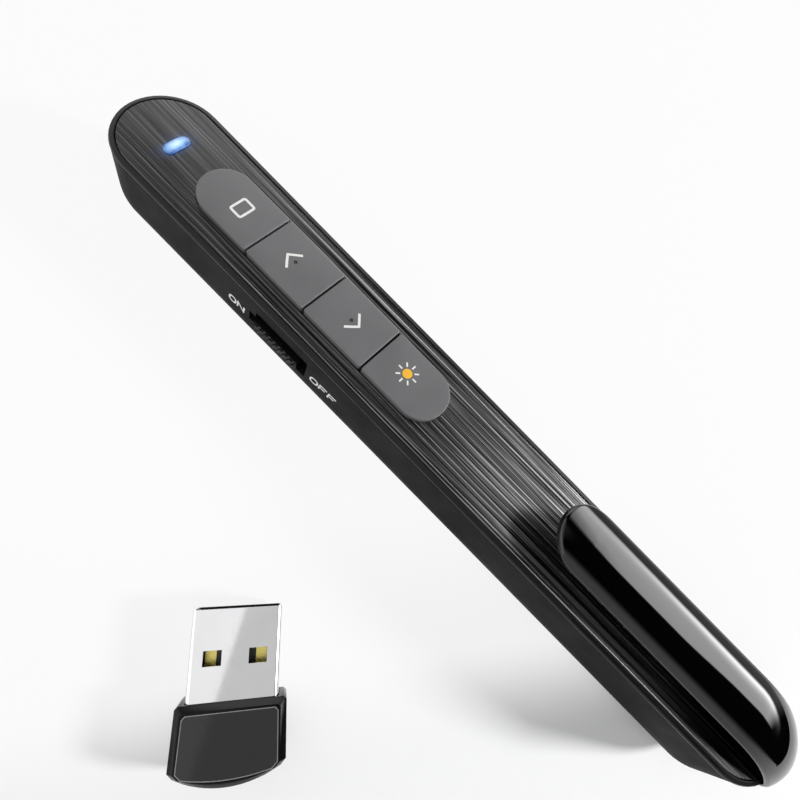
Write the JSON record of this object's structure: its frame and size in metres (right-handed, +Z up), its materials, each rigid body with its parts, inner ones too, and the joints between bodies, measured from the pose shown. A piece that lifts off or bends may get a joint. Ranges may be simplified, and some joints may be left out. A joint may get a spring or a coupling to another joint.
{
  "type": "wireless presentation clicker",
  "caption": "Slim hand-held presentation clicker with a row of keys on a brushed plate, a laser in its nose, a pocket clip, a side slide switch and a loose USB receiver.",
  "frame": {"origin": "on the flat belly that the handset rests on, half way along the handset", "axes": "+Y along the handset to the nose with the laser, +Z up through the keys, +X to the right seen from above"},
  "size_m": [0.0676, 0.1454, 0.0225],
  "materials": {
    "hull_plastic": "fine matt black",
    "rim_plastic": "smooth satin black",
    "plate_metal": "dark, brushed lengthwise",
    "led_plastic": "clear, lit pale blue",
    "led_chip_body": "moulded",
    "board_laminate": "green solder mask",
    "chip_package": "moulded black",
    "crystal_can": "drawn can",
    "switch_metal": "stamped shell",
    "switch_lever_plastic": "moulded",
    "knob_plastic": "moulded, ridged",
    "laser_brass": "turned",
    "lens_glass": "polished",
    "window_glass": "polished, dark red",
    "cell_can": "printed sleeve on a metal can",
    "spring_steel": "stamped and nickel plated",
    "contact_steel": "stamped and nickel plated",
    "door_plastic": "fine matt black",
    "magnet_nickel": "nickel plated",
    "screw_steel": "dark zinc plated",
    "clip_plastic": "polished piano black",
    "receiver_plastic": "satin black",
    "receiver_front_plastic": "polished black",
    "plug_steel": "bright nickel plated",
    "tongue_plastic": "moulded white",
    "contact_gold": "gold plated",
    "receiver_board_laminate": "green solder mask",
    "receiver_chip_package": "moulded black",
    "key_plastic": "satin grey",
    "push_switch_plastic": "moulded",
    "plunger_plastic": "moulded"
  },
  "bodies": {
    "casing": {"lower_hull": "hull_plastic", "upper_shell": "rim_plastic", "brushed_plate": "plate_metal", "led_lens": "led_plastic", "led_chip": "led_chip_body", "circuit_board": "board_laminate", "radio_chip": "chip_package", "crystal": "crystal_can", "power_switch_body": "switch_metal", "laser_barrel": "laser_brass", "laser_lens": "lens_glass", "nose_window": "window_glass", "battery_cell": "cell_can", "battery_leaf": "spring_steel", "battery_contact": "contact_steel", "bay_magnet": "magnet_nickel", "casing_screws": "screw_steel", "switch_screen": "push_switch_plastic", "switch_page_up": "push_switch_plastic", "switch_page_down": "push_switch_plastic", "switch_laser": "push_switch_plastic"},
    "screen_key": {"key_screen": "key_plastic", "plunger_screen": "plunger_plastic"},
    "page_up_key": {"key_page_up": "key_plastic", "plunger_page_up": "plunger_plastic"},
    "page_down_key": {"key_page_down": "key_plastic", "plunger_page_down": "plunger_plastic"},
    "laser_key": {"key_laser": "key_plastic", "plunger_laser": "plunger_plastic"},
    "power_slider": {"power_knob": "knob_plastic", "power_switch_lever": "switch_lever_plastic"},
    "battery_door": {"battery_door": "door_plastic"},
    "clip": {"clip": "clip_plastic"},
    "receiver": {"receiver_cap": "receiver_plastic", "receiver_front": "receiver_front_plastic", "receiver_plug_shell": "plug_steel", "receiver_tongue": "tongue_plastic", "receiver_contacts": "contact_gold", "receiver_board": "receiver_board_laminate", "receiver_chip": "receiver_chip_package"}
  },
  "joints": [
    {"name": "screen_key_press", "type": "slide", "parent": "casing", "child": "screen_key", "axis": [0, 0, -1], "range_m": [0, 0.0005], "stiffness_N_per_m": 2500},
    {"name": "page_up_key_press", "type": "slide", "parent": "casing", "child": "page_up_key", "axis": [0, 0, -1], "range_m": [0, 0.0005], "stiffness_N_per_m": 2500},
    {"name": "page_down_key_press", "type": "slide", "parent": "casing", "child": "page_down_key", "axis": [0, 0, -1], "range_m": [0, 0.0005], "stiffness_N_per_m": 2500},
    {"name": "laser_key_press", "type": "slide", "parent": "casing", "child": "laser_key", "axis": [0, 0, -1], "range_m": [0, 0.0005], "stiffness_N_per_m": 2500},
    {"name": "power_slide", "type": "slide", "parent": "casing", "child": "power_slider", "axis": [0, -1, 0], "range_m": [0, 0.0015]},
    {"name": "battery_door_tilt", "type": "hinge", "parent": "casing", "child": "battery_door", "pos_m": [0, -0.0623, 0], "axis": [-1, 0, 0], "range_deg": [0, 75]},
    {"name": "clip_flex", "type": "hinge", "parent": "casing", "child": "clip", "pos_m": [0, -0.0715, 0.0107], "axis": [1, 0, 0], "range_deg": [0, 4], "stiffness_Nm_per_rad": 2.3},
    {"name": "receiver_lift", "type": "slide", "parent": "casing", "child": "receiver", "axis": [0, 0, 1], "range_m": [0, 0.03]}
  ]
}
